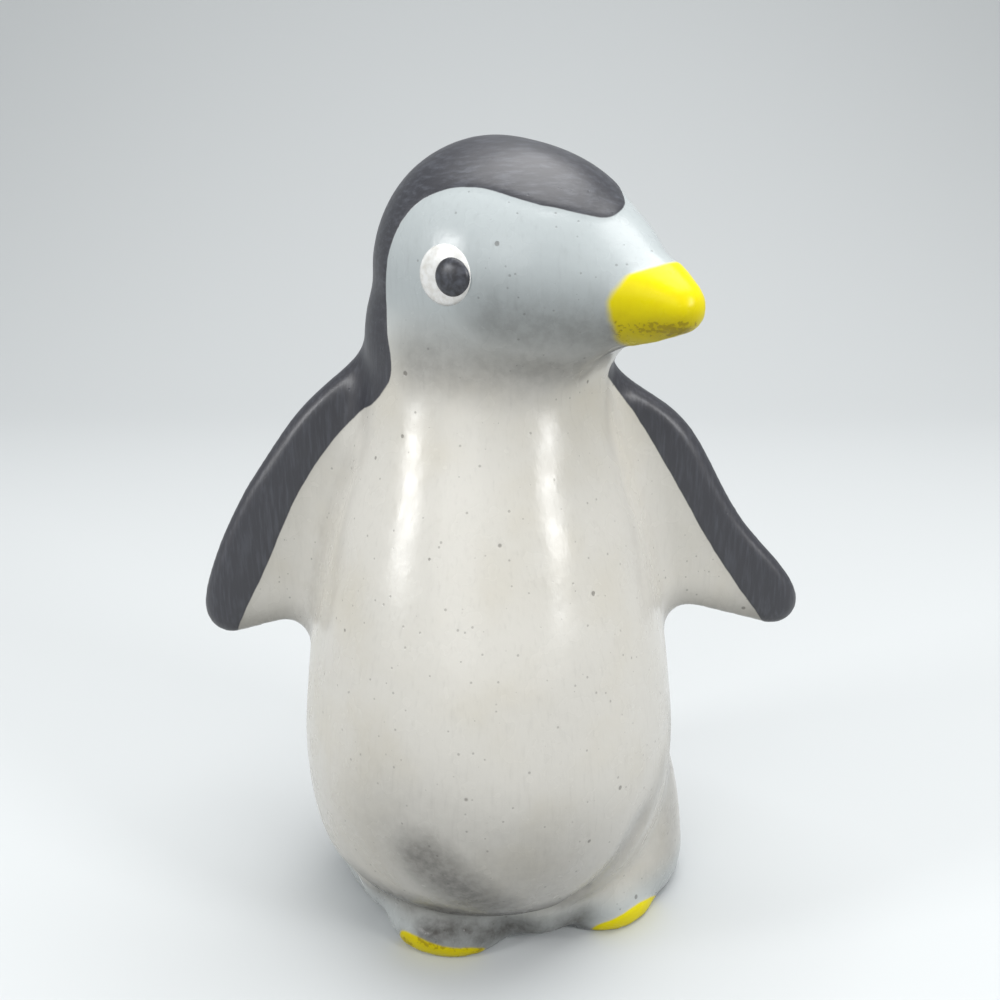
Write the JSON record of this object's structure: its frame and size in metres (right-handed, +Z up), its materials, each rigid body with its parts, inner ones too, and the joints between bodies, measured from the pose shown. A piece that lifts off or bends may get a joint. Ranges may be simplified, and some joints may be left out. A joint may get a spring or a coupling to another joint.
{
  "type": "penguin figurine",
  "caption": "Standing penguin ornament in painted hollow earthenware: pear-shaped body, head turned to one side, flippers held out, flat base.",
  "frame": {"origin": "on the surface that the figure stands on, under the middle of its box in X and Y", "axes": "+Z up; the belly faces -Y; +X is the bird's left, which its head is turned towards"},
  "size_m": [0.142, 0.1, 0.18],
  "materials": {
    "pale_glaze": "warm off-white brushed paint over earthenware under a clear gloss coat, with fine pits",
    "grey_face": "cool grey-white brushed paint under a clear gloss coat, with darker smudges under the jaw",
    "black": "charcoal-black brushed paint, satin, with fine scratches",
    "yellow": "bright yellow paint, glossy, with small brown scuffs",
    "eye_white": "thick white paint, glossy",
    "pupil_black": "thick black paint standing up as a low dome, satin gloss"
  },
  "bodies": {
    "root": {"torso": "pale_glaze", "head": "grey_face", "beak": "yellow", "right_flipper": "pale_glaze", "left_flipper": "pale_glaze", "right_foot": "grey_face", "left_foot": "grey_face", "tail": "black", "right_eye": "eye_white", "left_eye": "eye_white", "right_pupil": "pupil_black", "left_pupil": "pupil_black", "hood_paint": "black", "mantle_paint": "black", "right_flipper_paint": "black", "left_flipper_paint": "black", "right_toe_paint": "yellow", "left_toe_paint": "yellow"}
  },
  "joints": []
}
